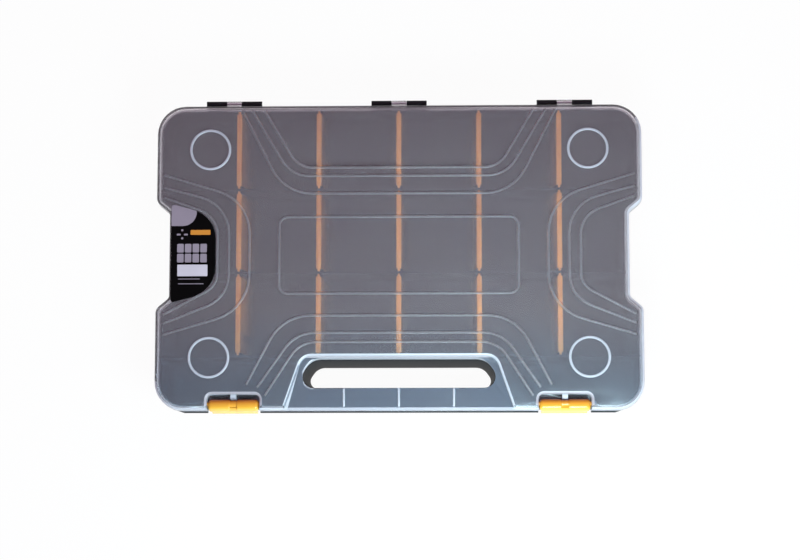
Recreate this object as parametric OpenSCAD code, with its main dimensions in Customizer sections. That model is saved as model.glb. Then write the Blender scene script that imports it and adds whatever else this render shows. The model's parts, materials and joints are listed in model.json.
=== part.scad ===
// Compartment case for small parts: a deep tray with lift-out dividers, a hinged
// see-through lid, two front latches and a carrying handle cut through the front edge.
// +X is to the right, -Y is the handle side, +Z is up. The case lies on its base.

/* [Case] */
// Width of the tray's rim and of the lid
case_w = 384; // [374:1:400]
// Depth of the tray's rim and of the lid, from the hinge edge to the handle edge
case_d = 242.5; // [236:0.5:250]
// Corner radius seen from above
corner_r = 23; // [18:1:30]
// Height of the tray's rim above the table
rim_z = 48; // [40:1:60]
// Height of the lid above the rim
lid_h = 11; // [10:0.5:16]

/* [Waist] */
// Depth of the waist in each side
waist_in = 10.5; // [8:0.5:12]
// Length of the straight part of the waist
waist_len = 67; // [50:1:80]
// Distance of the waist's middle behind the middle of the case
waist_y = 1.5; // [-4:0.5:6]
// Rounding of the waist's outer shoulders
shoulder_r = 7.5; // [7:0.5:9]
// Rounding of the waist's inner corners
waist_r = 4; // [2:0.5:6]
// Slope of the shoulders against the sides, in degrees
shoulder_slope = 50; // [40:1:60]

/* [Tray] */
// Thickness of the tray's outer wall
tray_t = 2; // [1.6:0.1:2.6]
// Overhang of the rim beyond the outer wall
rim_over = 2.8; // [2.8:0.1:3.4]
// Thickness of the rim flange
rim_t = 3; // [2:0.5:4]
// Height of the lip that stands inside the lid
lip_h = 2.5; // [1.5:0.5:3]
// Thickness of the floor
floor_t = 2.4; // [1.6:0.1:3]
// Thickness of the fixed inner walls
wall_t = 1.6; // [1.2:0.1:2]
// Distance of the rearmost fixed wall behind the middle of the case
rear_wall_y = 53.4; // [50:0.1:55]

/* [Feet] */
// Height of the ring feet
foot_h = 2; // [1.5:0.5:3]
// Width of a foot's ring
foot_ring = 4; // [3:0.5:5]
// Clearance between a foot and the lid ring of a case below it
foot_clear = 0.5; // [0.3:0.1:1]

/* [Dividers] */
// Distance between the columns of dividers
column_pitch = 63.2; // [60:0.1:63.4]
// Thickness of a divider
divider_t = 1.8; // [1.4:0.1:2.4]
// Width of the thick rim along a divider's top
divider_rim_w = 4; // [3:0.1:4.4]
// Height of that rim
divider_rim_h = 2.5; // [2:0.5:4]
// Width of a guide rib beside a divider
guide_w = 1.6; // [1:0.1:2]
// Depth of a guide rib, out from its wall
guide_d = 1.8; // [1.2:0.1:2.4]
// Clearance round a divider in its guides
divider_clear = 0.3; // [0.2:0.05:0.5]
// Gap between the front dividers and the lid's handle step
step_gap = 0.4; // [0.3:0.05:0.6]

/* [Handle] */
// Half width of the lid's handle step at its rear edge
zone_rear_x = 75.6; // [74:0.2:77]
// Slope of the handle step's ends, sideways per depth
zone_flare = 0.352; // [0.3:0.002:0.4]
// Distance of the handle step's rear edge before the middle of the case
zone_y = 80; // [79:0.1:82]
// Depth of the handle step in the lid
zone_drop = 4; // [3:0.5:4.5]
// Width of the ledge between the step and the hand opening
hole_ledge = 1; // [0.6:0.1:2]
// Depth of the hand opening, front to back
hole_d = 22.6; // [20:0.2:24]
// Half width of the hand opening's rear edge, before rounding
hole_rear_x = 68; // [64:0.5:68]
// Half width of the hand opening's front edge, before rounding
hole_front_x = 84; // [78:0.5:84]
// Narrowing of the hand opening on each side, from the lid down to the base
hole_draft = 3; // [0:0.5:3.5]
// Distance of the outer grip ribs from the middle
grip_rib_x = 43; // [36:1:50]

/* [Lid] */
// Thickness of the lid's walls and top
lid_t = 2; // [1.6:0.1:2.2]
// Gap between the rim and the closed lid
seam_gap = 0.2; // [0.1:0.05:0.3]
// Sideways gap between the tray's lip and the lid
lip_gap = 0.5; // [0.4:0.05:0.6]
// Gap between the closed lid and the inner walls under it
wall_gap = 0.5; // [0.3:0.1:0.8]
// Width of the raised beads
bead_w = 2; // [1.4:0.1:2.4]
// Height of the raised beads and rings
bead_h = 1; // [0.6:0.1:1.4]
// Radius of the stacking rings, at the middle of the bead
ring_r = 15.4; // [12:0.2:17]
// Distance of the stacking rings from the sides
ring_side = 43; // [38:1:50]
// Distance of the rear rings from the hinge edge
ring_rear = 36; // [32:0.1:40]
// Distance of the front rings from the handle edge
ring_front = 41.6; // [37:0.1:46]
// Half width of the frame in the middle of the lid
frame_x = 94; // [80:1:96]
// Distance of the frame's rear edge behind the middle of the case
frame_rear = 31.2; // [28:0.1:36]
// Distance of the frame's front edge before the middle of the case
frame_front = 29.5; // [22:0.1:32]

/* [Hinges] */
// Distance of the outer hinges from the sides
hinge_side = 60.5; // [58:0.5:66]
// Radius of the hinge knuckles
knuckle_r = 2.3; // [2.2:0.1:3]
// Gap between the knuckles and the lid's rear face
knuckle_gap = 0.4; // [0.3:0.05:0.6]
// Width of each tray knuckle
tray_knuckle_w = 16; // [12:0.5:18]
// Width of the lid knuckle between them
lid_knuckle_w = 11.4; // [9:0.1:14]
// Sideways gap between knuckles
knuckle_side_gap = 0.3; // [0.2:0.05:0.5]
// Radius of the hinge pins
pin_r = 1; // [0.8:0.05:1.2]
// Running clearance of pins and trunnions in their bores
run_clear = 0.05; // [0.02:0.01:0.08]

/* [Latches] */
// Distance of the latches from the sides
latch_side = 62.5; // [60:0.5:66]
// Width of a latch
latch_w = 40; // [34:0.5:42]
// Gap between a latch and the sides of its recess
latch_side_gap = 0.6; // [0.4:0.1:1]
// Distance of the recess's rear edge from the handle edge
recess_d = 12.8; // [12:0.1:14]
// Corner radius of the recess
recess_r = 4; // [2:0.5:5]
// Height of the recess's floor above the rim
recess_h = 2; // [1.8:0.1:2.4]
// Radius of a latch's barrel
barrel_r = 3; // [2.8:0.1:3.1]
// Distance of the latch's axis from the handle edge
barrel_in = 5.4; // [5:0.1:5.6]
// Radius of the latch's trunnion bar
trunnion_r = 1.6; // [1.3:0.1:1.8]
// Reach of the trunnion bar into the recess's sides
trunnion_reach = 1.3; // [1:0.1:1.5]
// Width of the web that carries the bar's middle
web_w = 4.4; // [3.5:0.1:5]
// Thickness of the latch plate
latch_t = 1.8; // [1.6:0.1:2.2]
// Depth of the notch in the front edges of tray and lid that the latch plate lies in
latch_notch = 1.6; // [1.4:0.1:1.8]
// Gap between the latch plate and the notch
latch_gap = 0.3; // [0.25:0.05:0.4]
// Gap between the hook and the tray's wall
hook_gap = 0.3; // [0.2:0.05:0.4]
// Depth of the catch below the tray's rim
catch_h = 6; // [5:0.5:7]

/* [Label] */
// Thickness of the label on the lid
label_t = 0.25; // [0.15:0.05:0.4]
// Distance of the label from the waist's edge
label_edge = 3; // [2.5:0.5:5]
// Width of the label
label_w = 32.2; // [28:0.1:34]
// Reach of the label's outer edge before the straight part of the waist
label_front = 4.5; // [2:0.5:6]
// Reach of the label's outer edge behind the straight part of the waist
label_rear = 7; // [4:0.5:8]
// Fall of the label's ends towards its inner edge
label_taper = 9.3; // [6:0.1:12]
// Rounding of the label's inner corners
label_r = 24; // [12:1:26]

/* [Hidden] */
tray_colour = "#26282b";
lid_colour = "#8d97a8";
divider_colour = "#f39a4d";
latch_colour = "#f6a21c";
pin_colour = "#b9bcc0";
label_colour = "#1d1b1a";

$fn = 64;
corner_steps = 8;
bend_steps = 7;

columns = 5;
rows = 3;
row_names = ["rear", "middle", "front"];

half_w = case_w / 2;
half_d = case_d / 2;
floor_z = foot_h + floor_t;
lip_z = rim_z + lip_h;
seam_z = rim_z + seam_gap;
lid_z = rim_z + lid_h;
lid_under = lid_z - lid_t;
wall_top = lid_under - wall_gap;
divider_top = wall_top - 0.3;
front_wall_y = lid_t + step_gap - divider_clear - zone_y - wall_t / 2;
row_pitch = (rear_wall_y - front_wall_y) / (rows - 1);
wall_in = rim_over + tray_t;
skirt_in = rim_over - lip_gap;
skirt_draft = 0.5;
side_round = 2;
wall_root = 0.8;

zone_z = lid_z - zone_drop;
zone_under = zone_z - lid_t;
zone_wall_top = zone_under - wall_gap;
hole_y = zone_y + hole_ledge;
beyond = 12;

hinge_x = half_w - hinge_side;
latch_x = half_w - latch_side;
hinge_y = half_d + knuckle_gap + knuckle_r;
hinge_z = rim_z;
tray_knuckle_x = lid_knuckle_w / 2 + knuckle_side_gap + tray_knuckle_w / 2;
pin_len = 2 * (tray_knuckle_x + tray_knuckle_w / 2);
arm_h = knuckle_r - 0.2;

recess_x = latch_w / 2 + latch_side_gap;
recess_z = rim_z + recess_h;
recess_wall = trunnion_reach + 0.5;
latch_y = barrel_in - half_d;
latch_z = recess_z + 0.8 + barrel_r;
notch_y = latch_notch - half_d;
latch_in = notch_y - latch_gap;
latch_out = latch_in - latch_t;
latch_lip = 0.7;
latch_foot_z = rim_z - catch_h - 5.6;
web_gap = 0.5;

bead_sink = 0.6;
edge_margin = 4.4;

// The case sits with the middle of its whole footprint, hinges and latches included, on the origin.
case_y = (latch_lip - latch_out - hinge_y - knuckle_r) / 2;

function divider_name(row, column) = str("divider_", row_names[row], "_", column + 1);

// ---- Plane geometry -------------------------------------------------------------
// An outline is a list of corners [x, y, rounding], counter-clockwise.

function at(list, i) = list[(i + len(list)) % len(list)];
function point(corner) = [corner[0], corner[1]];
function unit(v) = v / norm(v);
function left_of(v) = [-v[1], v[0]];
function mirrored(list) = [for (i = [len(list) - 1 : -1 : 0]) [-list[i][0], list[i][1], list[i][2]]];

// The points of one corner, rounded with radius r in the given number of steps.
function rounded_corner(a, b, c, r, steps) =
    r <= 0 ? [b] :
    let (
        u = unit(a - b),
        v = unit(c - b),
        half = acos(u * v) / 2,
        centre = b + unit(u + v) * r / sin(half),
        from = b + u * r / tan(half) - centre,
        turn = cross(u, v) < 0 ? 180 - 2 * half : 2 * half - 180
    )
    [for (i = [0 : steps])
        let (angle = turn * i / steps)
        centre + [from[0] * cos(angle) - from[1] * sin(angle), from[0] * sin(angle) + from[1] * cos(angle)]];

// A closed outline's points.
function closed(outline, steps) = [
    for (i = [0 : len(outline) - 1])
        each rounded_corner(point(at(outline, i - 1)), point(outline[i]), point(at(outline, i + 1)),
                            outline[i][2], steps)
];

// An open path's points, from its first corner to its last.
function open(path, steps) = [
    for (i = [0 : len(path) - 1])
        each (i == 0 || i == len(path) - 1) ? [point(path[i])] :
            rounded_corner(point(path[i - 1]), point(path[i]), point(path[i + 1]), path[i][2], steps)
];

// An outline moved inwards by the given distance, or outwards by a negative one.
function inset(outline, distance) = [
    for (i = [0 : len(outline) - 1])
        let (
            before = left_of(unit(point(outline[i]) - point(at(outline, i - 1)))),
            after = left_of(unit(point(at(outline, i + 1)) - point(outline[i]))),
            bulges = cross(before, after) > 0,
            moved = point(outline[i]) + (before + after) * distance / (1 + before * after),
            r = outline[i][2]
        )
        [moved[0], moved[1], r == 0 ? 0 : max(r + (bulges ? -distance : distance), 0.1)]
];

// A band of even width along an open path.
function band(points, width) =
    let (
        last = len(points) - 1,
        sides = [for (i = [0 : last])
            let (
                before = left_of(unit(points[max(i, 1)] - points[max(i, 1) - 1])),
                after = left_of(unit(points[min(i, last - 1) + 1] - points[min(i, last - 1)]))
            )
            (before + after) / (1 + before * after) * width / 2]
    )
    concat([for (i = [0 : last]) points[i] - sides[i]], [for (i = [last : -1 : 0]) points[i] + sides[i]]);

// ---- Outlines -------------------------------------------------------------------

waist_half = waist_len / 2;
shoulder_len = waist_in / tan(shoulder_slope);
right_side = [
    [half_w, -half_d, corner_r],
    [half_w, waist_y - waist_half - shoulder_len, shoulder_r],
    [half_w - waist_in, waist_y - waist_half, waist_r],
    [half_w - waist_in, waist_y + waist_half, waist_r],
    [half_w, waist_y + waist_half + shoulder_len, shoulder_r],
    [half_w, half_d, corner_r]
];
case_outline = concat(right_side, mirrored(right_side));

zone_front_x = zone_rear_x + (half_d + beyond - zone_y) * zone_flare;
zone_right = [[zone_front_x, -half_d - beyond, 0], [zone_rear_x, -zone_y, 10]];
zone_outline = concat(zone_right, mirrored(zone_right));

hole_right = [[hole_front_x, -hole_y - hole_d, 9], [hole_rear_x, -hole_y, 14]];
hole_outline = concat(hole_right, mirrored(hole_right));

recess_right = [[recess_x, -half_d - beyond, 0], [recess_x, recess_d - half_d, recess_r]];
recess_outline = concat(recess_right, mirrored(recess_right));

frame_right = [[frame_x, -frame_front, 7], [frame_x, frame_rear, 7]];
frame_outline = concat(frame_right, mirrored(frame_right));

label_out = half_w - waist_in - label_edge;
label_x = label_out - label_w;
label_low = waist_y - waist_half - label_front;
label_high = waist_y + waist_half + label_rear;
label_outline = [
    [-label_out, label_low, 2],
    [-label_x, label_low + label_taper, label_r],
    [-label_x, label_high - label_taper, label_r],
    [-label_out, label_high, 2]
];

// Beads on the lid: paths of corners [x, y, bend radius].
rear_end = half_d - edge_margin;
function rear_bead(end_x, corner_x, level, r) =
    [[-end_x, rear_end, 0], [-corner_x, level, r], [corner_x, level, r], [end_x, rear_end, 0]];
rear_beads = [
    rear_bead(106.3, 78.9, 70.5, 20),
    rear_bead(116, 84.8, 63.9, 26),
    rear_bead(123.9, 89.8, 49.8, 36)
];
function front_bead(end_x, end_in, corner_x, level, r) =
    [[-end_x, end_in - half_d, 0], [-corner_x, -level, r], [corner_x, -level, r], [end_x, end_in - half_d, 0]];
front_beads = [
    front_bead(104.9, 11.2, 77.5, 67.6, 24),
    front_bead(110.8, 17.8, 80.6, 60.4, 28),
    front_bead(119.4, 19.8, 91, 46.8, 36)
];
// The side beads run round the waist: their ends and corners are set out from the ends of its straight part.
side_end = half_w - edge_margin - 2;
waist_front = waist_y - waist_half;
waist_rear = waist_y + waist_half;
function side_bead(from_side, front_end, front_corner, front_r, rear_corner, rear_end, rear_r) =
    let (x = half_w - from_side)
    [
        [side_end, waist_front - front_end, 0],
        [x, waist_front - front_corner, front_r],
        [x, waist_rear + rear_corner, rear_r],
        [side_end, waist_rear + rear_end, 0]
    ];
side_beads = [
    side_bead(74.5, 29.8, 9.9, 36, 9.4, 30.2, 35),
    side_bead(58.2, 21.1, 0.6, 26, 6.2, 20.2, 30),
    side_bead(49.2, 14, -8.7, 16, -2.8, 12.3, 22)
];
grip_beads = [for (x = [-grip_rib_x, 0, grip_rib_x]) [[x, 3 - half_d, 0], [x, 1 - hole_y - hole_d, 0]]];

ring_spots = [
    for (x = [ring_side - half_w, half_w - ring_side], y = [ring_front - half_d, half_d - ring_rear]) [x, y]
];
latch_spots = [-latch_x, latch_x];
hinge_spots = [-hinge_x, 0, hinge_x];

// ---- Shared modules -------------------------------------------------------------

module in_case() {
    translate([0, case_y, 0]) children();
}

// A closed shell of an outline through levels [height, inset]. Its ends fan out from the given middle.
module skin(outline, levels, middle_y = 0) {
    loops = [for (level = levels) closed(inset(outline, level[1]), corner_steps)];
    n = len(loops[0]);
    top = len(levels) - 1;
    points = concat(
        [for (k = [0 : top]) each [for (p = loops[k]) [p[0], p[1], levels[k][0]]]],
        [[0, middle_y, levels[0][0]], [0, middle_y, levels[top][0]]]
    );
    foot = n * (top + 1);
    polyhedron(points, concat(
        [for (i = [0 : n - 1]) [foot, i, (i + 1) % n]],
        [for (i = [0 : n - 1]) [foot + 1, top * n + (i + 1) % n, top * n + i]],
        [for (k = [0 : top - 1], i = [0 : n - 1])
            [k * n + i, (k + 1) * n + i, (k + 1) * n + (i + 1) % n, k * n + (i + 1) % n]]
    ));
}

// A plate of the outline between two heights.
module prism(points, low, high) {
    translate([0, 0, low]) linear_extrude(high - low) polygon(points);
}

// A section drawn in (y, z), carried along X and centred on x.
module across(x, width) {
    translate([x - width / 2, 0, 0]) rotate([90, 0, 90]) linear_extrude(width) children();
}

module rod(x, y, z, r, length) {
    translate([x - length / 2, y, z]) rotate([0, 90, 0]) cylinder(r = r, h = length);
}

// ---- Tray -----------------------------------------------------------------------

tray_levels = [
    [foot_h, wall_in + 1.2],
    [foot_h + 1.2, rim_over + 1.4],
    [foot_h + 4, rim_over + 0.6],
    [rim_z - rim_t, rim_over],
    [rim_z - rim_t, 0],
    [rim_z, 0],
    [rim_z, rim_over],
    [lip_z, rim_over]
];

function wall_y(row) = rear_wall_y - row * row_pitch;
function row_rear(row) = row == 0 ? half_d - wall_in : wall_y(row - 1) - wall_t / 2;
function row_front(row) = wall_y(row) + wall_t / 2;
function column_x(column) = (column - (columns - 1) / 2) * column_pitch;

module cross_walls() {
    for (row = [0 : rows - 1])
        translate([-half_w, wall_y(row) - wall_t / 2]) square([case_w, wall_t]);
    guide_x = divider_t / 2 + divider_clear;
    for (row = [0 : rows - 1], column = [0 : columns - 1], side = [0, 1])
        translate([column_x(column), 0]) mirror([side, 0]) {
            translate([guide_x, row_front(row) - wall_root]) square([guide_w, guide_d + wall_root]);
            translate([guide_x, row_rear(row) - guide_d]) square([guide_w, guide_d + wall_root]);
        }
}

// The handle's walls: one right under the lid's handle step, one round the hand opening, and the grip's ribs.
module handle_walls() {
    difference() {
        polygon(closed(inset(zone_outline, -(lid_t + wall_t) / 2), bend_steps));
        polygon(closed(inset(zone_outline, -(lid_t - wall_t) / 2), bend_steps));
    }
    polygon(closed(inset(hole_outline, -wall_t), bend_steps));
    for (x = [-grip_rib_x, 0, grip_rib_x])
        translate([x - wall_t / 2, -half_d]) square([wall_t, half_d - hole_y - hole_d]);
}

// The inner walls stand on the floor. Above the lip they keep clear of the lid's sides and of its handle step.
module inner_walls() {
    shoulder_z = lid_under - side_round;
    translate([0, 0, floor_z - wall_root]) linear_extrude(lip_z - floor_z + wall_root) intersection() {
        union() {
            cross_walls();
            handle_walls();
        }
        polygon(closed(inset(case_outline, wall_in - wall_root), corner_steps));
    }
    for (part = [[lip_z - wall_root, shoulder_z, skirt_in + skirt_draft], [shoulder_z - wall_root, wall_top, wall_in]])
        translate([0, 0, part[0]]) linear_extrude(part[1] - part[0]) difference() {
            intersection() {
                cross_walls();
                polygon(closed(inset(case_outline, part[2] + wall_gap), corner_steps));
            }
            polygon(closed(inset(zone_outline, -lid_t - wall_gap), bend_steps));
        }
    translate([0, 0, lip_z - wall_root]) linear_extrude(zone_wall_top - lip_z + wall_root) intersection() {
        handle_walls();
        polygon(closed(inset(case_outline, wall_in + wall_gap), corner_steps));
    }
}

module tray_knuckles() {
    for (hinge = hinge_spots, side = [-1, 1])
        across(hinge + side * tray_knuckle_x, tray_knuckle_w) {
            translate([hinge_y, hinge_z]) circle(knuckle_r);
            translate([half_d - 1, hinge_z - arm_h]) square([hinge_y - half_d + 1, arm_h]);
        }
}

// The catches are deeper stretches of the rim, with an underside that slopes up towards the front.
module catches() {
    low = rim_z - catch_h;
    root_y = wall_in - 0.5 - half_d;
    for (x = latch_spots)
        across(x, latch_w + 4)
            polygon([
                [notch_y, rim_z - 1],
                [notch_y, low],
                [rim_over - half_d, low - 0.5],
                [root_y, low - 0.5],
                [root_y, rim_z - 1]
            ]);
}

// What the latch plates take out of the front edges of tray and lid.
module latch_notches(low, high) {
    for (x = latch_spots)
        translate([x - recess_x, -half_d - 1, low]) cube([2 * recess_x, latch_notch + 1, high - low]);
}

module feet() {
    outer = ring_r - bead_w / 2 - foot_clear;
    for (spot = ring_spots)
        translate([spot[0], spot[1], 0]) difference() {
            cylinder(r = outer, h = foot_h + 1);
            translate([0, 0, -1]) cylinder(r = outer - foot_ring, h = foot_h + 1);
        }
}

module base_tray() color(tray_colour) in_case() {
    difference() {
        union() {
            difference() {
                skin(case_outline, tray_levels);
                prism(closed(inset(case_outline, wall_in), corner_steps), floor_z, lip_z + 1);
            }
            inner_walls();
            tray_knuckles();
            catches();
            feet();
        }
        skin(hole_outline, [[-1, hole_draft], [lid_z, 0]], -hole_y - hole_d / 2);
        for (x = latch_spots)
            translate([x - recess_x - recess_wall - lip_gap, -half_d - 1, rim_z])
                cube([2 * (recess_x + recess_wall + lip_gap), wall_in + 2, lip_h + 1]);
        latch_notches(rim_z - rim_t - 1, rim_z + 1);
        for (x = hinge_spots)
            rod(x, hinge_y, hinge_z, pin_r, pin_len + 2);
    }
}

// ---- Dividers -------------------------------------------------------------------

module divider(row, column) color(divider_colour) in_case() {
    front = row_front(row) + divider_clear;
    rear = row_rear(row) - divider_clear;
    rim_in = guide_d + divider_clear;
    translate([column_x(column), 0, 0]) {
        translate([-divider_t / 2, front, floor_z])
            cube([divider_t, rear - front, divider_top - floor_z]);
        translate([-divider_rim_w / 2, front + rim_in, divider_top - divider_rim_h])
            cube([divider_rim_w, rear - front - 2 * rim_in, divider_rim_h]);
    }
}

// ---- Lid ------------------------------------------------------------------------

lid_levels = [
    [seam_z, 0],
    [lid_z - 3, skirt_draft],
    [lid_z - 1.4, 1.1],
    [lid_z - 0.5, 2.2],
    [lid_z, edge_margin - 0.4]
];
hollow_levels = [
    [seam_z - 1, skirt_in],
    [lid_under - side_round, skirt_in + skirt_draft],
    [lid_under - 0.6, skirt_in + 1.5],
    [lid_under, skirt_in + 3.1]
];

module lid_shell() {
    difference() {
        skin(case_outline, lid_levels);
        prism(closed(zone_outline, bend_steps), zone_z, lid_z + 1);
        for (x = latch_spots)
            translate([x, 0, 0]) prism(closed(recess_outline, bend_steps), recess_z, lid_z + 1);
        latch_notches(seam_z - 1, recess_z + 1);
        difference() {
            skin(case_outline, hollow_levels);
            prism(closed(inset(zone_outline, -lid_t), bend_steps), zone_under, lid_z);
            for (x = latch_spots)
                translate([x, 0, 0])
                    prism(closed(inset(recess_outline, -recess_wall), bend_steps), seam_z - 2, lid_z);
        }
    }
}

module lid_beads() {
    for (path = concat(rear_beads, front_beads, side_beads))
        prism(band(open(path, bend_steps), bead_w), lid_z - bead_sink, lid_z + bead_h);
    for (path = side_beads)
        mirror([1, 0, 0]) prism(band(open(path, bend_steps), bead_w), lid_z - bead_sink, lid_z + bead_h);
    for (path = grip_beads)
        prism(band(open(path, bend_steps), bead_w), zone_z - bead_sink, zone_z + bead_h);
    translate([0, 0, lid_z - bead_sink]) linear_extrude(bead_sink + bead_h) difference() {
        polygon(closed(inset(frame_outline, -bead_w / 2), bend_steps));
        polygon(closed(inset(frame_outline, bead_w / 2), bend_steps));
    }
    for (spot = ring_spots)
        translate([spot[0], spot[1], lid_z - bead_sink]) difference() {
            cylinder(r = ring_r + bead_w / 2, h = bead_sink + bead_h);
            translate([0, 0, -1]) cylinder(r = ring_r - bead_w / 2, h = bead_sink + bead_h + 2);
        }
}

module lid_knuckles() {
    for (hinge = hinge_spots)
        across(hinge, lid_knuckle_w) {
            translate([hinge_y, hinge_z]) circle(knuckle_r);
            translate([half_d - 1, seam_z]) square([hinge_y - half_d + 1, arm_h - seam_gap]);
        }
}

// A web in each recess holds the middle of the latch's bar.
module latch_webs() {
    for (x = latch_spots)
        across(x, web_w)
            polygon([
                [recess_d - half_d + 0.5, recess_z - 1],
                [recess_d - half_d + 0.5, lid_z - 1.5],
                [latch_y + 1, latch_z + barrel_r + 0.2],
                [latch_y - 2.4, latch_z + barrel_r - 0.6],
                [latch_y - 3.4, latch_z],
                [latch_y - 3.4, recess_z - 1]
            ]);
}

module lid() color(lid_colour, 0.55) in_case() {
    difference() {
        union() {
            lid_shell();
            lid_beads();
            lid_knuckles();
            latch_webs();
        }
        prism(closed(hole_outline, bend_steps), seam_z - 2, lid_z + 2);
        for (x = latch_spots)
            rod(x, latch_y, latch_z, trunnion_r + run_clear, latch_w + 2 * trunnion_reach + 0.4);
        for (x = hinge_spots)
            rod(x, hinge_y, hinge_z, pin_r + run_clear, lid_knuckle_w + 2);
    }
}

// ---- Latches --------------------------------------------------------------------

module latch_section() {
    low = rim_z - catch_h;
    nose = rim_over - half_d - hook_gap;
    arm_z = latch_z + barrel_r - 0.2;
    polygon(closed([
        [latch_y, arm_z, 0],
        [latch_out, arm_z, 3],
        [latch_out, latch_foot_z + 4, 1.5],
        [latch_out - latch_lip, latch_foot_z + 2, 0.6],
        [latch_out - latch_lip, latch_foot_z, 0.6],
        [latch_in, low - 3, 1.2],
        [nose, low - 2.6, 0.4],
        [nose, low - 1.1, 0.2],
        [latch_in, low - 0.3, 0],
        [latch_in, arm_z - latch_t, 0.8],
        [latch_y, arm_z - latch_t, 0]
    ], bend_steps));
}

module latch(x) color(latch_colour) in_case() {
    slot_w = web_w + 2 * web_gap;
    difference() {
        union() {
            across(x, latch_w) latch_section();
            rod(x, latch_y, latch_z, barrel_r, latch_w);
        }
        translate([x - slot_w / 2, latch_in, recess_z])
            cube([slot_w, -latch_in, lid_h + 4]);
    }
    rod(x, latch_y, latch_z, trunnion_r, latch_w + 2 * trunnion_reach);
}

// ---- Hinge pins and label -------------------------------------------------------

module hinge_pin(x) color(pin_colour) in_case() {
    rod(x, hinge_y, hinge_z, pin_r, pin_len);
}

module lid_label() color(label_colour) in_case() {
    prism(closed(label_outline, bend_steps), lid_z, lid_z + label_t);
}

base_tray();
lid();
for (row = [0 : rows - 1], column = [0 : columns - 1])
    divider(row, column);
latch(-latch_x);  // latch_left
latch(latch_x);  // latch_right
hinge_pin(-hinge_x);  // hinge_pin_left
hinge_pin(0);  // hinge_pin_centre
hinge_pin(hinge_x);  // hinge_pin_right
lid_label();
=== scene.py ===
"""Compartment case for small parts: a black divided tray under a frosted lid with amber latches.

Metres throughout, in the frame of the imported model: +X right, -Y the handle side, +Z up.
"""
import json
from math import cos, pi, radians, sin, tan

import bmesh
import bpy
from mathutils import Matrix, Vector


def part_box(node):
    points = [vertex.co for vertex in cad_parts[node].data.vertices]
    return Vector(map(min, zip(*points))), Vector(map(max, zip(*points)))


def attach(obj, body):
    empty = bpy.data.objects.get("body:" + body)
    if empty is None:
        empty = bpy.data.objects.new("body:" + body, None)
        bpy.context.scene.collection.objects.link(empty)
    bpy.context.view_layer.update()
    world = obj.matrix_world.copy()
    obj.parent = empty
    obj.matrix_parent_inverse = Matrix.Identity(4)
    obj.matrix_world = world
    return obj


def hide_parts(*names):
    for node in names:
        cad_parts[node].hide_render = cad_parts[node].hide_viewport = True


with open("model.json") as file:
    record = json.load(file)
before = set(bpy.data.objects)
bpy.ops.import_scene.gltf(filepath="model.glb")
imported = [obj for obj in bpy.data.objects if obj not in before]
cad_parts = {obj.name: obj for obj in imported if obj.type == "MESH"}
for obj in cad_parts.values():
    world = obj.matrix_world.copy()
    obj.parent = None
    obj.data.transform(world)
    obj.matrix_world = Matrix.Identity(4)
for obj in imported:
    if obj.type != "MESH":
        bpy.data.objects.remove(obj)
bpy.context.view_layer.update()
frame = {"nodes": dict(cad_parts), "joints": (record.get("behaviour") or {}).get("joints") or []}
scene = bpy.context.scene
mm = 0.001

# ---- Places on the case, from the frame -----------------------------------------

joints = {joint["name"]: Vector(joint["pos_m"]) for joint in frame["joints"]}
lid_low, lid_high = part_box("lid")
label_low, label_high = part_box("lid_label")
latch_x = joints["latch_right_pivot"].x

# heights
bead_h = 1 * mm
lid_z = lid_high.z - bead_h  # top of the lid's plate
zone_z = lid_z - 4 * mm  # floor of the handle step
rim_z = joints["lid_hinge"].z  # top of the tray's rim
recess_z = rim_z + 2 * mm  # floor of the latch recesses

# places from front to rear
front_y = lid_low.y
case_y = front_y + 121.25 * mm  # halfway from the lid's front to its rear
recess_rear_y = case_y - 108.3 * mm
hole_front_y = case_y - 104 * mm
hole_rear_y = case_y - 79.7 * mm
step_rear_y = case_y - 78.5 * mm
lid_rear_y = case_y + 120.75 * mm  # only the knuckles lie behind it

# sizes of the lid's forms, each a little over the solid's own
RECESS_HALF_W = 20.7 * mm
STEP_HALF_W = 92 * mm
STEP_SLOPE_X = -74 * mm  # the step's left end slopes from here outwards
HOLE_HALF_W = 75 * mm
RING_REACH = 18 * mm
SIDE_X = -150 * mm  # beyond it lies the lid's left side
WEB_HALF_W = 2.2 * mm
# the bright line at the foot of the step's walls is a painted highlight
STRIP = 1.3 * mm  # height of the bright line at the foot of the handle step's walls
NEAR = 0.02 * mm  # how far a point may lie from the height that it is picked by
ring_spots = [
    Vector((side * 149 * mm, case_y + y)) for side in (-1, 1) for y in (85.25 * mm, -79.65 * mm)
]

# sizes of the latches
LATCH_W = 40 * mm
SLOT_W = 5.4 * mm  # between the two halves of a latch's barrel
BARREL_R = 3.5 * mm


# ---- Camera ---------------------------------------------------------------------
# The view is almost straight down, from a little in front of the case, which lies above the middle.

PHOTO_W = 800  # pixels across the picture
PIXEL = 1 / 1285  # metres at the aim to one pixel, at a metre's distance
SENSOR_W = 36  # millimetres
EYE_HEIGHT = 1.60  # metres above the lid
EYE_TILT = radians(6.8)  # lean of the view away from straight down, towards the handle side
EYE_RIGHT = 0.044  # metres to the right of the aim
AIM = Vector((1.0 * mm, case_y - 19.05 * mm, lid_z))


def aim_camera():
    data = bpy.data.cameras.new("Camera")
    data.sensor_width = SENSOR_W
    data.lens = SENSOR_W * EYE_HEIGHT / PIXEL / PHOTO_W
    data.clip_start, data.clip_end = 0.05, 20
    camera = bpy.data.objects.new("Camera", data)
    scene.collection.objects.link(camera)
    eye = AIM + Vector((EYE_RIGHT, -EYE_HEIGHT * tan(EYE_TILT), EYE_HEIGHT))
    back = (eye - AIM).normalized()
    right = Vector((0, 1, 0)).cross(back).normalized()
    up = back.cross(right)
    camera.matrix_world = Matrix((
        (right.x, up.x, back.x, eye.x),
        (right.y, up.y, back.y, eye.y),
        (right.z, up.z, back.z, eye.z),
        (0, 0, 0, 1),
    ))
    scene.camera = camera


aim_camera()


# ---- Materials ------------------------------------------------------------------

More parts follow.
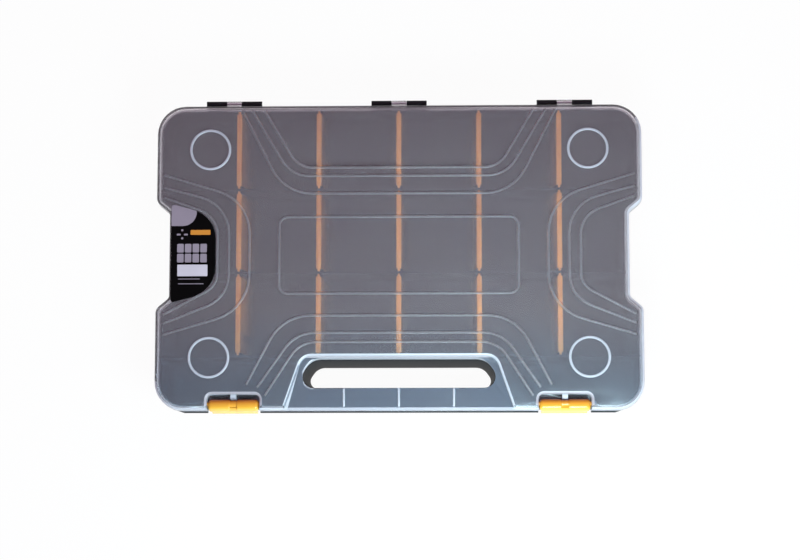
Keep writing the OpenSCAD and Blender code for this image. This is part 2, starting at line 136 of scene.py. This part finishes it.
def linear(colour):
    """An sRGB hex colour as the linear values that a shader takes."""
    parts = [int(colour[i:i + 2], 16) / 255 for i in (1, 3, 5)]
    return [c / 12.92 if c <= 0.04045 else ((c + 0.055) / 1.055) ** 2.4 for c in parts] + [1.0]


def add(tree, kind, inputs=(), **settings):
    """Adds a shader node; inputs pairs a socket's name or number with a value or another output."""
    made = tree.nodes.new(kind)
    for name, value in settings.items():
        setattr(made, name, value)
    for name, value in dict(inputs).items():
        if isinstance(value, bpy.types.NodeSocket):
            tree.links.new(value, made.inputs[name])
        else:
            made.inputs[name].default_value = value
    return made


def new_material(name):
    """An empty material, its node tree and its Object coordinates."""
    made = bpy.data.materials.new(name)
    made.use_nodes = True
    made.node_tree.nodes.clear()
    return made, made.node_tree, add(made.node_tree, "ShaderNodeTexCoord").outputs["Object"]


def grains(tree, place, pitch, depth):
    """A bump of small grains, pitch apart and depth deep."""
    grain = add(tree, "ShaderNodeTexNoise", {
        "Vector": place, "Scale": 1 / pitch, "Detail": 2.0, "Roughness": 0.6})
    bump = add(tree, "ShaderNodeBump", {"Height": grain.outputs["Fac"], "Distance": depth})
    return bump.outputs["Normal"]


def drift(tree, place, size, low, high):
    """A colour that drifts between two over stretches of the given size."""
    noise = add(tree, "ShaderNodeTexNoise", {"Vector": place, "Scale": 1 / size, "Detail": 2.0})
    spread = add(tree, "ShaderNodeMapRange", {
        "Value": noise.outputs["Fac"], "From Min": 0.3, "From Max": 0.7})
    tone = add(tree, "ShaderNodeMix", {
        "Factor": spread.outputs["Result"], 6: linear(low), 7: linear(high)}, data_type="RGBA")
    return tone.outputs[2]


def turn_along_y(tree, place, tone, other, start_y, end_y, most=1.0):
    """A colour that turns into another one from start_y to end_y, at most by the given share."""
    parts = add(tree, "ShaderNodeSeparateXYZ", {0: place})
    share = add(tree, "ShaderNodeMapRange", {
        "Value": parts.outputs["Y"], "From Min": start_y, "From Max": end_y, "To Max": most})
    mixed = add(tree, "ShaderNodeMix", {
        "Factor": share.outputs["Result"], 6: tone, 7: other}, data_type="RGBA")
    return mixed.outputs[2]


def frosted_polypropylene(name, clear, low, high, roughness, gloss=0.5, front=""):
    """Natural polypropylene, moulded against a fine spark-eroded tool. It shows what lies close
    under it and blurs what lies deep, and it scatters light where a wall or rib is seen edge on.
    clear is how much it lets through, and front is a cooler tone towards the handle: painted cool
    light."""
    made, tree, place = new_material(name)
    tone = drift(tree, place, 60 * mm, low, high)
    if front:
        # painted cool light: the tone turns cooler towards the handle
        tone = turn_along_y(tree, place, tone, linear(front), case_y - 42 * mm, case_y - 104 * mm)
    shader = add(tree, "ShaderNodeBsdfPrincipled", {
        "Base Color": tone,
        "Roughness": roughness,
        "IOR": 1.49,
        "Transmission Weight": clear,
        "Specular IOR Level": gloss,
        "Normal": grains(tree, place, 0.8 * mm, 0.012 * mm),
    })
    add(tree, "ShaderNodeOutputMaterial", {"Surface": shader.outputs["BSDF"]})
    return made


def opaque(name, low, high, roughness, pitch, depth, **more):
    """An opaque finish: its colour drifts a little, and grains of the given pitch and depth break
    its gloss. more names further sockets of the shader."""
    made, tree, place = new_material(name)
    inputs = {
        "Base Color": drift(tree, place, 25 * mm, low, high),
        "Roughness": roughness,
        "Normal": grains(tree, place, pitch, depth),
    }
    inputs.update({key.replace("_", " "): value for key, value in more.items()})
    shader = add(tree, "ShaderNodeBsdfPrincipled", inputs)
    add(tree, "ShaderNodeOutputMaterial", {"Surface": shader.outputs["BSDF"]})
    return made


def amber_acetal():
    """Amber acetal, moulded against a polished tool: a clean gloss. Its amber turns to deep orange
    at the barrel's rear as painted shade, and paler towards the front as a painted highlight."""
    made, tree, place = new_material("amber_acetal")
    deep = drift(tree, place, 25 * mm, "#b0560c", "#b8600f")
    amber = drift(tree, place, 25 * mm, "#f0b634", "#f4bd40")
    # painted shade: deep orange at the barrel's rear, turning to amber towards the front
    tone = turn_along_y(tree, place, deep, amber, case_y - 113 * mm, case_y - 120 * mm)
    # painted highlight: a pale tone over the front
    tone = turn_along_y(tree, place, tone, linear("#fbe8b0"),
                        case_y - 119 * mm, case_y - 121.6 * mm, 0.35)
    shader = add(tree, "ShaderNodeBsdfPrincipled", {
        "Base Color": tone,
        "Roughness": 0.22,
        "Normal": grains(tree, place, 1.5 * mm, 0.01 * mm),
    })
    add(tree, "ShaderNodeOutputMaterial", {"Surface": shader.outputs["BSDF"]})
    return made


# The lid is one plastic, in lit and shaded copies. Ribs and rings are milky where they are thick
# along the view, and the plate is nearly clear.
# Painted highlight lies on the shoulder, rims and step edges, a painted cool reflection on the
# handle step, and painted shade in the recesses and on the left and rear skirt.
# the plate's front tone is painted cool light towards the handle
lid_plate = frosted_polypropylene("frosted_polypropylene", 0.915, "#f7f2f7", "#fcf8fb", 0.26,
                                  front="#d9e6f4")
lid_wall = frosted_polypropylene("frosted_polypropylene_wall", 0.6, "#e6ebf2", "#f0f3f7", 0.3)
lid_bead = frosted_polypropylene("frosted_polypropylene_bead", 0.84, "#eeedf4", "#f5f4f8", 0.28)
# milky where rings and ribs are thick, and a painted highlight where it is put on the shoulder,
# step edges and the hole's left end
lid_ring_and_highlight = frosted_polypropylene("frosted_polypropylene_ring_and_highlight", 0.35, "#d2d8e0", "#dce1e8", 0.3)
# painted cool reflection: the handle step's copy is lighter and bluer than the plate
lid_step_painted_reflection = frosted_polypropylene("frosted_polypropylene_step_painted_reflection", 0.88, "#c9dcf2", "#d3e3f6", 0.28)
# painted shade: the recess floor's copy is clearer, so the black tray shows darker through it
lid_recess_painted_shade = frosted_polypropylene("frosted_polypropylene_recess_painted_shade", 0.97, "#f2eef6", "#f8f5fa", 0.24)
# painted highlight: a milkier copy for the band behind the hand opening and the recesses' rims
lid_rim_painted_highlight = frosted_polypropylene("frosted_polypropylene_rim_painted_highlight", 0.58, "#e4dfe6", "#ece7ee", 0.3)
# painted shade: a darker grey copy for the shoulder and skirt on the left and rear sides
lid_edge_painted_shade = frosted_polypropylene("frosted_polypropylene_edge_painted_shade", 0.93, "#878389", "#8f8b91", 0.26,
                                 gloss=0.12)
# a black moulding from the same tool finish: dull and fine-grained, with a soft grey sheen
tray_plastic = opaque("black_polypropylene", "#1f2124", "#26282b", 0.6, 0.8 * mm, 0.04 * mm,
                      Specular_IOR_Level=0.2)
# a satin moulding, a little glossier than the tray, and bright enough to glow through the lid
divider_plastic = opaque("orange_polypropylene", "#ffa846", "#ffb152", 0.42, 1.0 * mm, 0.02 * mm)
latch_plastic = amber_acetal()
# bright wire with fine drawing marks, seen only between the hinge knuckles
pin_steel = opaque("drawn_steel_wire", "#bfc2c6", "#c9cbce", 0.3, 0.5 * mm, 0.005 * mm,
                   Metallic=1.0)
# printed film: a deep, nearly matt black ground with duller and brighter inks on it
label_film = opaque("printed_label_film", "#040303", "#060505", 0.55, 0.5 * mm, 0.004 * mm,
                    Specular_IOR_Level=0.05)
print_pale = opaque("pale_print", "#8b828c", "#938a94", 0.45, 0.5 * mm, 0.004 * mm)
print_white = opaque("white_print", "#c4bfc6", "#ccc7ce", 0.45, 0.5 * mm, 0.004 * mm)
print_orange = opaque("orange_print", "#c77f23", "#d28a2c", 0.45, 0.5 * mm, 0.004 * mm)


# ---- Meshes ---------------------------------------------------------------------

def merged_copy(node):
    """A CAD node's mesh with its loose triangles joined and its flat faces whole."""
    bm = bmesh.new()
    bm.from_mesh(frame["nodes"][node].data)
    bmesh.ops.remove_doubles(bm, verts=bm.verts, dist=2e-6)
    bmesh.ops.dissolve_limit(bm, angle_limit=radians(0.3), verts=bm.verts, edges=bm.edges)
    return bm


def bevel(bm, edges, width, segments, clamp=True):
    """Rounds edges and gives the faces made."""
    made = bmesh.ops.bevel(bm, geom=list(edges), offset=width, offset_type="OFFSET",
                           segments=segments, profile=0.5, affect="EDGES", clamp_overlap=clamp,
                           material=-1)
    return made["faces"]


def round_edges(bm, width, segments, chosen, shortest=0.3 * mm):
    """Rounds the convex sharp edges that chosen picks, and gives the faces made."""
    edges = [
        e for e in bm.edges
        if len(e.link_faces) == 2 and e.is_convex and e.calc_face_angle(0) > radians(35)
        and e.calc_length() > shortest and chosen(e)
    ]
    return bevel(bm, edges, width, segments, clamp=False)


def cut_faces(bm, faces, place, normal):
    """Cuts faces along a plane, and keeps both halves."""
    geom = faces + list({e for f in faces for e in f.edges})
    geom += list({v for f in faces for v in f.verts})
    bmesh.ops.bisect_plane(bm, geom=geom, dist=1e-6, plane_co=place, plane_no=normal)


def keep_side(bm, place, normal):
    """Cuts a solid along a plane, keeps the side that normal points to, and closes the cut."""
    geom = list(bm.verts) + list(bm.edges) + list(bm.faces)
    done = bmesh.ops.bisect_plane(bm, geom=geom, plane_co=place, plane_no=normal, clear_inner=True)
    around = [e for e in done["geom_cut"] if isinstance(e, bmesh.types.BMEdge)]
    bmesh.ops.holes_fill(bm, edges=around)


def add_bar(bm, outline, low_x, high_x):
    """Extrudes an outline of (y, z) corners along X and gives its long edges, corner by corner."""
    corners = [bm.verts.new((low_x, y, z)) for y, z in outline]
    start = bm.faces.new(corners)
    raised = bmesh.ops.extrude_face_region(bm, geom=[start])["geom"]
    tops = [v for v in raised if isinstance(v, bmesh.types.BMVert)]
    bmesh.ops.translate(bm, verts=tops, vec=(high_x - low_x, 0, 0))
    bm.edges.ensure_lookup_table()
    return [next(e for e in v.link_edges if e.other_vert(v) in tops) for v in corners]


def add_rod(bm, place, r, length):
    """A round bar along X, about its middle."""
    turn = Matrix.Translation(place) @ Matrix.Rotation(pi / 2, 4, "Y")
    bmesh.ops.create_cone(bm, cap_ends=True, segments=32, radius1=r, radius2=r, depth=length,
                          matrix=turn)


def arc(centre_y, centre_z, r, start, turn, steps):
    """Points of (y, z) along an arc, in degrees from +Y towards +Z."""
    angles = [radians(start + turn * i / steps) for i in range(steps + 1)]
    return [(centre_y + r * cos(a), centre_z + r * sin(a)) for a in angles]


def middle_of(edge):
    return (edge.verts[0].co + edge.verts[1].co) / 2


def at_height(z):
    return lambda e: all(abs(v.co.z - z) < NEAR for v in e.verts)


def flat_at(bm, z):
    """The faces that face up at a height."""
    return [f for f in bm.faces
            if f.normal.z > 0.9 and abs(f.calc_center_median().z - z) < NEAR]


def make_piece(name, bm, materials, body, slot, *replaced):
    mesh = bpy.data.meshes.new(name)
    bm.to_mesh(mesh)
    bm.free()
    for material in materials:
        mesh.materials.append(material)
    mesh.shade_smooth()
    mesh.set_sharp_from_angle(angle=radians(30))
    piece = bpy.data.objects.new(name, mesh)
    scene.collection.objects.link(piece)
    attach(piece, body)
    if replaced:
        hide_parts(*replaced)


# ---- Lid ------------------------------------------------------------------------

PLATE, WALL, BEAD, RING_AND_HIGHLIGHT, STEP_PAINTED_REFLECTION, RECESS_PAINTED_SHADE, RIM_PAINTED_HIGHLIGHT, EDGE_PAINTED_SHADE = range(8)
LID_MATERIALS = [
    lid_plate, lid_wall, lid_bead, lid_ring_and_highlight, lid_step_painted_reflection, lid_recess_painted_shade, lid_rim_painted_highlight, lid_edge_painted_shade,
]


def in_recess(place, margin):
    return place.y < recess_rear_y and abs(abs(place.x) - latch_x) < RECESS_HALF_W + margin


def over_recess(e):
    """Picks the upper edges of the latch recesses."""
    return at_height(lid_z)(e) and in_recess(middle_of(e), 0.3 * mm)


def over_step(e):
    """Picks the upper edges of the handle step: its rear edge, corners and sloping ends."""
    middle = middle_of(e)
    return at_height(lid_z)(e) and middle.y < step_rear_y and abs(middle.x) < STEP_HALF_W


def over_step_front(e):
    """Picks the handle step's front edge."""
    middle = middle_of(e)
    at_front = middle.y < case_y - 120.5 * mm and abs(middle.x) < STEP_HALF_W - 1 * mm
    return at_height(zone_z)(e) and at_front


def over_hole(e):
    """Picks the upper edge of the hand opening, at its ends and front."""
    middle = middle_of(e)
    around = hole_front_y < middle.y < case_y - 81 * mm and abs(middle.x) < HOLE_HALF_W
    return at_height(zone_z)(e) and around


def lid_look(face, rims):
    """The look of a face: walls, ribs and rings are seen edge on, so they scatter more, and the
    copies with painted highlight, painted cool reflection and painted shade are handed out by
    place.
    """
    middle = face.calc_center_median()
    x, y, z = middle
    up = face.normal.z
    flat = abs(up) > 0.9
    # raised beads and rings
    if z > lid_z + NEAR:
        near = min((middle.xy - spot).length for spot in ring_spots)
        return RING_AND_HIGHLIGHT if near < RING_REACH else BEAD if up > 0.6 else PLATE
    # knuckles
    if y > lid_rear_y:
        return PLATE
    # ribs across the handle bar
    if zone_z + NEAR < z < zone_z + bead_h + 0.01 * mm and y < case_y - 103 * mm:
        return RING_AND_HIGHLIGHT if up > 0.6 else STEP_PAINTED_REFLECTION
    if face in rims:
        return rims[face]
    # latch recesses, with painted shade on their floors, and the web in each
    if in_recess(middle, 1 * mm) and z > recess_z - 0.1 * mm:
        on_web = abs(abs(x) - latch_x) < WEB_HALF_W + 0.1 * mm and z > recess_z + 0.1 * mm
        return RING_AND_HIGHLIGHT if on_web else RECESS_PAINTED_SHADE if up > 0.9 else WALL
    # floor of the handle step in its painted cool reflection, and the band behind the hand opening
    # as a painted highlight
    if abs(z - zone_z) < NEAR and up > 0.9:
        return RIM_PAINTED_HIGHLIGHT if y > hole_rear_y - 0.01 * mm else STEP_PAINTED_REFLECTION
    # painted shade on the shoulder and skirt on the two sides that lie in shade, outside and inside
    at_rear, at_left = y > case_y + 100 * mm, x < SIDE_X
    shaded = face.normal.y > 0.3 and at_rear or at_left and y > case_y - 100 * mm
    inner = face.normal.x > 0.5 and at_left or face.normal.y < -0.5 and at_rear
    if (shaded and z > lid_z - 4.2 * mm or inner) and not flat:
        return EDGE_PAINTED_SHADE
    # painted highlight on the sloping shoulder all round
    if 0.3 < up < 0.9 and lid_z - 3.1 * mm < z < lid_z - NEAR:
        return RING_AND_HIGHLIGHT
    # painted highlight line at the foot of the handle step's walls
    if abs(x) < STEP_HALF_W and y < step_rear_y and zone_z < z < zone_z + STRIP and up < 0.9:
        return RING_AND_HIGHLIGHT
    # painted cool reflection on the step's sloping left end
    if -STEP_HALF_W < x < STEP_SLOPE_X and y < case_y - 79.8 * mm and z > zone_z:
        return STEP_PAINTED_REFLECTION
    if flat or face.normal.y > 0.3 and at_rear:
        return PLATE
    return PLATE if z > lid_z - 3 * mm and up < -0.2 else WALL


def open_web(bm):
    """Ends each web behind the barrels' halves, above a cradle that the latch's bar lies in."""
    axis = joints["latch_right_pivot"]
    clear_r = BARREL_R + 0.1 * mm
    back = axis.y + clear_r

    def in_web(face):
        x, y, z = face.calc_center_median()
        beside = abs(abs(x) - latch_x) < WEB_HALF_W + 0.05 * mm
        return beside and z > recess_z + 0.05 * mm and y < case_y - 108 * mm

    plate = [f for f in flat_at(bm, lid_z) if f.calc_area() > 1e-4]
    cut_faces(bm, plate + [f for f in bm.faces if in_web(f)], (0, back, 0), (0, 1, 0))
    gone = [f for f in bm.faces if in_web(f) and f.calc_center_median().y < back - NEAR]
    bmesh.ops.delete(bm, geom=gone, context="FACES")
    foot, top, rear = recess_z - 0.4 * mm, lid_z - 0.6 * mm, back + 0.3 * mm
    outline = [(rear, foot), (rear, top), (back, top)]
    outline += arc(axis.y, axis.z, clear_r, 0, -140, 8)
    outline += [(axis.y - 3.4 * mm, foot)]
    for side in (-1, 1):
        add_bar(bm, outline, side * latch_x - WEB_HALF_W, side * latch_x + WEB_HALF_W)


def frosted_lid():
    bm = merged_copy("lid")
    # the step's rear wall and the opening's rear edge lie a little farther back than their solids
    for v in bm.verts:
        y = v.co.y - case_y
        if v.co.z > zone_z - NEAR and abs(v.co.x) < 79 * mm and -92 * mm < y < -79.9 * mm:
            v.co.y += 1.3 * mm * min(1, (y + 92 * mm) / (11 * mm))
    cut_faces(bm, flat_at(bm, zone_z), (0, hole_rear_y, 0), (0, 1, 0))
    # the step's left end slopes, the more the nearer to the front
    for v in bm.verts:
        at_end = abs(v.co.z - zone_z) < NEAR and abs(v.co.x + 89.97 * mm) < 0.1 * mm
        if at_end and v.co.y < case_y - 120 * mm:
            v.co.x += 2.6 * mm
    ends = []
    for face in bm.faces:
        x, y, z = face.calc_center_median()
        left_end = -STEP_HALF_W < x < STEP_SLOPE_X and case_y - 121 * mm < y < case_y - 80 * mm
        if left_end and abs(face.normal.z) < 0.9 and zone_z + 0.1 * mm < z < lid_z:
            ends.append(face)
    cut_faces(bm, ends, (0, 0, zone_z + STRIP), (0, 0, 1))
    # painted highlights along the step's front edge, on the hole's edge at its left end only, and
    # on the step's rims; elsewhere the step's painted cool reflection
    looks = dict.fromkeys(round_edges(bm, 2.1 * mm, 5, over_step_front), RING_AND_HIGHLIGHT)
    for face in round_edges(bm, 0.9 * mm, 3, over_hole):
        looks[face] = RING_AND_HIGHLIGHT if face.calc_center_median().x < -62 * mm else STEP_PAINTED_REFLECTION
    # painted highlight on the recesses' rounded rims
    looks.update(dict.fromkeys(round_edges(bm, 2.0 * mm, 4, over_recess), RIM_PAINTED_HIGHLIGHT))
    for face in round_edges(bm, 1.9 * mm, 3, over_step):
        middle = face.calc_center_median()
        sloping = middle.x < -70 * mm and middle.y < case_y - 94 * mm
        looks[face] = STEP_PAINTED_REFLECTION if sloping and face.normal.z < 0.85 else RING_AND_HIGHLIGHT
    open_web(bm)
    round_edges(bm, 0.6 * mm, 3, at_height(lid_z + bead_h))
    round_edges(bm, 0.6 * mm, 3, at_height(zone_z + bead_h))
    bm.normal_update()
    looks = {face: look for face, look in looks.items() if face.is_valid}
    for face in bm.faces:
        face.material_index = lid_look(face, looks)
    make_piece("frosted_lid", bm, LID_MATERIALS, "lid", "lid_frosted", "lid")


frosted_lid()


# ---- Tray and dividers ----------------------------------------------------------

def black_tray():
    rim_foot = rim_z - 3 * mm

    def rim_edge(e):
        return at_height(rim_z)(e) or at_height(rim_foot)(e)

    bm = merged_copy("base_tray")
    # the rim stands a little out under the lid's front edge, where a thumb lifts the lid
    for v in bm.verts:
        if v.co.y < front_y + 0.01 * mm and rim_foot - 0.1 * mm < v.co.z < rim_z + 0.1 * mm:
            v.co.y -= 1.1 * mm
    round_edges(bm, 0.5 * mm, 2, rim_edge, 0.6 * mm)
    make_piece("black_tray", bm, [tray_plastic], "base", "tray_black", "base_tray")


def orange_divider(node):
    bm = merged_copy(node)
    round_edges(bm, 0.4 * mm, 2, lambda e: True)
    make_piece("orange_" + node, bm, [divider_plastic], "base", "divider_orange", node)


black_tray()
for name in frame["nodes"]:
    if name.startswith("divider"):
        orange_divider(name)


# ---- Latches --------------------------------------------------------------------

PILLOW_STEPS = 5  # rings of faces round each end of a barrel's half


def add_pillow(bm, section, low_x, high_x, low_r, high_r):
    """A bar along X of a (y, z) section, with its ends rounded off like a cushion's, each by
    its own radius."""
    low_y, high_y = min(p[0] for p in section), max(p[0] for p in section)
    low_z, high_z = min(p[1] for p in section), max(p[1] for p in section)
    middle_y, middle_z = (low_y + high_y) / 2, (low_z + high_z) / 2
    angles = [radians(90 * i / PILLOW_STEPS) for i in range(PILLOW_STEPS + 1)]
    stations = [(low_x + low_r * (1 - sin(a)), low_r * (1 - cos(a))) for a in reversed(angles)]
    stations += [(high_x - high_r * (1 - sin(a)), high_r * (1 - cos(a))) for a in angles]
    loops = []
    for x, shrink in stations:
        k = 1 - shrink / (high_z - middle_z)
        loops.append([
            bm.verts.new((x, middle_y + (y - middle_y) * k, middle_z + (z - middle_z) * k))
            for y, z in section
        ])
    for a, b in zip(loops, loops[1:]):
        for i in range(len(section)):
            j = (i + 1) % len(section)
            bm.faces.new((a[i], a[j], b[j], b[i]))
    bm.faces.new(loops[0])
    bm.faces.new(loops[-1])


def add_latch_plate(bm, axis, low, out, inner):
    """The plate that hangs down from the barrel, with its grip lip and hook."""
    foot = low.z
    nose = inner + 1.2 * mm
    face_y = out + 0.15 * mm
    root = inner + 1.1 * mm
    ledge = axis.z + 1.8 * mm  # low enough to swing past the web
    reach = LATCH_W / 2 - 2 * mm
    plate = add_bar(bm, [
        (face_y, ledge), (face_y, foot + 4 * mm), (low.y, foot + 2.4 * mm), (low.y, foot),
        (inner, foot + 2.4 * mm), (nose, foot + 2.8 * mm), (nose, foot + 4.3 * mm),
        (inner, foot + 5.1 * mm), (inner, axis.z - 2 * mm), (root, axis.z + 0.2 * mm),
        (root, ledge),
    ], axis.x - reach, axis.x + reach)
    sides = {e for corner in plate[:2] for v in corner.verts for e in v.link_edges}
    upright = [e for e in sides if all(abs(v.co.y - face_y) < 0.01 * mm for v in e.verts)
               and abs(e.verts[0].co.x - e.verts[1].co.x) < 0.01 * mm]
    bevel(bm, upright + plate[2:5], 0.5 * mm, 3)


def amber_latch(body):
    axis = joints[body + "_pivot"]
    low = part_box(body)[0]
    out, inner = low.y + 0.7 * mm, low.y + 2.5 * mm
    top = axis.z + BARREL_R
    bm = bmesh.new()
    add_latch_plate(bm, axis, low, out, inner)
    # the two halves of the barrel, on each side of the lid's web
    section = arc(axis.y, axis.z, BARREL_R, -90, 180, 14)
    section += arc(out + 4 * mm, top - 4 * mm, 4 * mm, 90, 90, 10)
    section += arc(out + 1.2 * mm, axis.z - BARREL_R + 1.2 * mm, 1.2 * mm, 180, 90, 4)
    far, near = LATCH_W / 2, SLOT_W / 2
    add_pillow(bm, section, axis.x - far, axis.x - near, 2.8 * mm, 0.8 * mm)
    add_pillow(bm, section, axis.x + near, axis.x + far, 0.8 * mm, 2.8 * mm)
    # the bar that turns in the recess's walls, and the thicker neck that joins the halves
    add_rod(bm, axis, 1.6 * mm, LATCH_W + 2.6 * mm)
    add_rod(bm, axis, BARREL_R - 0.6 * mm, SLOT_W + 1 * mm)
    # grip ridges across the plate
    crest_y, root_y = out - 0.4 * mm, out + 0.3 * mm
    for i in range(4):
        z = low.z + (6.2 + 2 * i) * mm
        ridge = [(crest_y, z), (root_y, z - 0.6 * mm), (root_y, z + 0.6 * mm)]
        crest = add_bar(bm, ridge, axis.x - 14 * mm, axis.x + 14 * mm)[:1]
        bevel(bm, crest, 0.25 * mm, 2)
    bmesh.ops.recalc_face_normals(bm, faces=bm.faces)
    make_piece("amber_" + body, bm, [latch_plastic], body, "latch_amber", body)


amber_latch("latch_left")
amber_latch("latch_right")


# ---- Label ----------------------------------------------------------------------

FILM, WHITE, PALE, ORANGE = range(4)
PRINT_T = 0.03 * mm


def add_patch(bm, look, low_x, low_y, w, h, r=0.0):
    """A printed patch, its corner measured in millimetres from the label's outer front corner."""
    middle = Vector((label_low.x + (low_x + w / 2) * mm, label_low.y + (low_y + h / 2) * mm,
                     label_high.z))
    size = Matrix.Diagonal((w * mm, h * mm, 2 * PRINT_T, 1))
    before = set(bm.faces)
    made = bmesh.ops.create_cube(bm, size=1, matrix=Matrix.Translation(middle) @ size)
    if r:
        upright = {e for v in made["verts"] for e in v.link_edges
                   if abs(e.verts[0].co.z - e.verts[1].co.z) > PRINT_T}
        bevel(bm, upright, r * mm, 4)
    for face in set(bm.faces) - before:
        face.material_index = look


def label_outline():
    """The label, drawn a little wider than its solid, up to the bead beside it."""
    bm = merged_copy("lid_label")
    middle = (label_low.x + label_high.x) / 2
    for v in bm.verts:
        v.co.x = middle + 0.5 * mm + (v.co.x - middle) * 1.095
    return bm


def label_top_patch():
    """The pale patch at the label's rear end, cut from the label's own outline."""
    bm = label_outline()
    front, side = label_low.y + 60.3 * mm, label_low.x + 19 * mm
    keep_side(bm, (0, front, 0), (0, 1, 0))
    keep_side(bm, (side, 0, 0), (-1, 0, 0))
    corner = [e for e in bm.edges
              if all((v.co.xy - Vector((side, front))).length < 0.1 * mm for v in e.verts)]
    bevel(bm, corner, 11 * mm, 10)
    bmesh.ops.translate(bm, verts=bm.verts, vec=(0.15 * mm, -0.1 * mm, PRINT_T))
    bmesh.ops.recalc_face_normals(bm, faces=bm.faces)
    make_piece("label_write_on_patch", bm, [print_pale], "lid", "label_print")


def printed_label():
    """The film with a plain bar, a pictogram of a divided tray, a write-on box and two rules."""
    bm = label_outline()
    add_patch(bm, ORANGE, 14.4, 53.1, 15.7, 3.9, 0.6)
    for way in (0, 1):
        add_patch(bm, PALE, 3.4 + 5.6 * way, 52.7, 3.2, 1.4, 0.6)
        add_patch(bm, PALE, 7.0, 49.6 + 6.4 * way, 1.6, 1.6, 0.5)
    for row in range(2):
        for column in range(4):
            add_patch(bm, PALE, 3.9 + 6.1 * column, 31.2 + 7.9 * row, 5.2, 6.9, 0.8)
    add_patch(bm, WHITE, 4.2, 20.3, 23.8, 9.2, 0.5)
    for i, width in enumerate((17, 20)):
        add_patch(bm, PALE, 5, 17.8 - 3.8 * i, width, 0.6)
    make_piece("printed_label", bm, [label_film, print_white, print_pale, print_orange],
               "lid", "label_print", "lid_label")


printed_label()
label_top_patch()

for name, cad in frame["nodes"].items():
    if name.startswith("hinge_pin"):
        cad.data.materials.clear()
        cad.data.materials.append(pin_steel)


# ---- Floor and light ------------------------------------------------------------

def seen_by_eye(tree):
    """1 for what is seen straight, mirrored or through the lid, and 0 for what lights the case."""
    path = add(tree, "ShaderNodeLightPath").outputs
    seen = add(tree, "ShaderNodeMath", {
        0: path["Is Camera Ray"], 1: path["Is Glossy Ray"]}, operation="MAXIMUM")
    seen = add(tree, "ShaderNodeMath", {
        0: seen.outputs[0], 1: path["Is Transmission Ray"]}, operation="MAXIMUM")
    return seen.outputs[0]


def pale_floor():
    """White paper. Most of what the eye sees of it is plain white, and the rest keeps the case's
    shadow."""
    made, tree, _ = new_material("pale_paper_floor")
    lift = add(tree, "ShaderNodeMath", {0: seen_by_eye(tree), 1: 0.96}, operation="MULTIPLY")
    paper = add(tree, "ShaderNodeBsdfDiffuse", {"Color": linear("#f4f4f2")})
    glow = add(tree, "ShaderNodeEmission", {"Color": linear("#ffffff"), "Strength": 1.0})
    mixed = add(tree, "ShaderNodeMixShader", {
        "Fac": lift.outputs[0], 1: paper.outputs[0], 2: glow.outputs[0]})
    add(tree, "ShaderNodeOutputMaterial", {"Surface": mixed.outputs[0]})
    return made


def lay_floor():
    bm = bmesh.new()
    bmesh.ops.create_grid(bm, x_segments=1, y_segments=1, size=6)
    mesh = bpy.data.meshes.new("Floor")
    bm.to_mesh(mesh)
    bm.free()
    mesh.materials.append(pale_floor())
    floor = bpy.data.objects.new("Floor", mesh)
    scene.collection.objects.link(floor)


def soft_light(name, place, aim, size, watts, colour):
    data = bpy.data.lights.new(name, "AREA")
    data.shape = "RECTANGLE"
    data.size, data.size_y = size
    data.energy = watts
    data.color = linear(colour)[:3]
    lamp = bpy.data.objects.new(name, data)
    scene.collection.objects.link(lamp)
    lamp.location = place
    lamp.rotation_mode = "QUATERNION"
    lamp.rotation_quaternion = (Vector(place) - Vector(aim)).to_track_quat("Z", "Y")
    lamp.visible_camera = False


def light_room():
    """A soft, slightly warm room; what it lacks in cool light comes from the lamps."""
    world = bpy.data.worlds.new("Studio")
    scene.world = world
    world.use_nodes = True
    tree = world.node_tree
    tree.nodes.clear()
    room = add(tree, "ShaderNodeBackground", {"Color": linear("#ffd9f0"), "Strength": 0.44})
    add(tree, "ShaderNodeOutputWorld", {"Surface": room.outputs[0]})


lay_floor()
soft_light("Window", (0.75, -0.05, 0.30), (0.1, -0.05, 0.05), (0.4, 0.5), 0.9, "#effdff")
soft_light("Ceiling", (0.14, -0.35, 0.55), (0.0, -0.05, 0.05), (0.3, 0.2), 3.4, "#cdf2ff")
soft_light("Front", (0.10, -0.30, 0.32), (0.05, -0.06, 0.05), (0.25, 0.15), 0.95, "#ecffff")
soft_light("Low front", (0.0, -1.2, 0.16), (0.0, -0.1, 0.05), (1.0, 0.25), 1.15, "#e8f6ff")
light_room()
scene.view_settings.view_transform = "Standard"
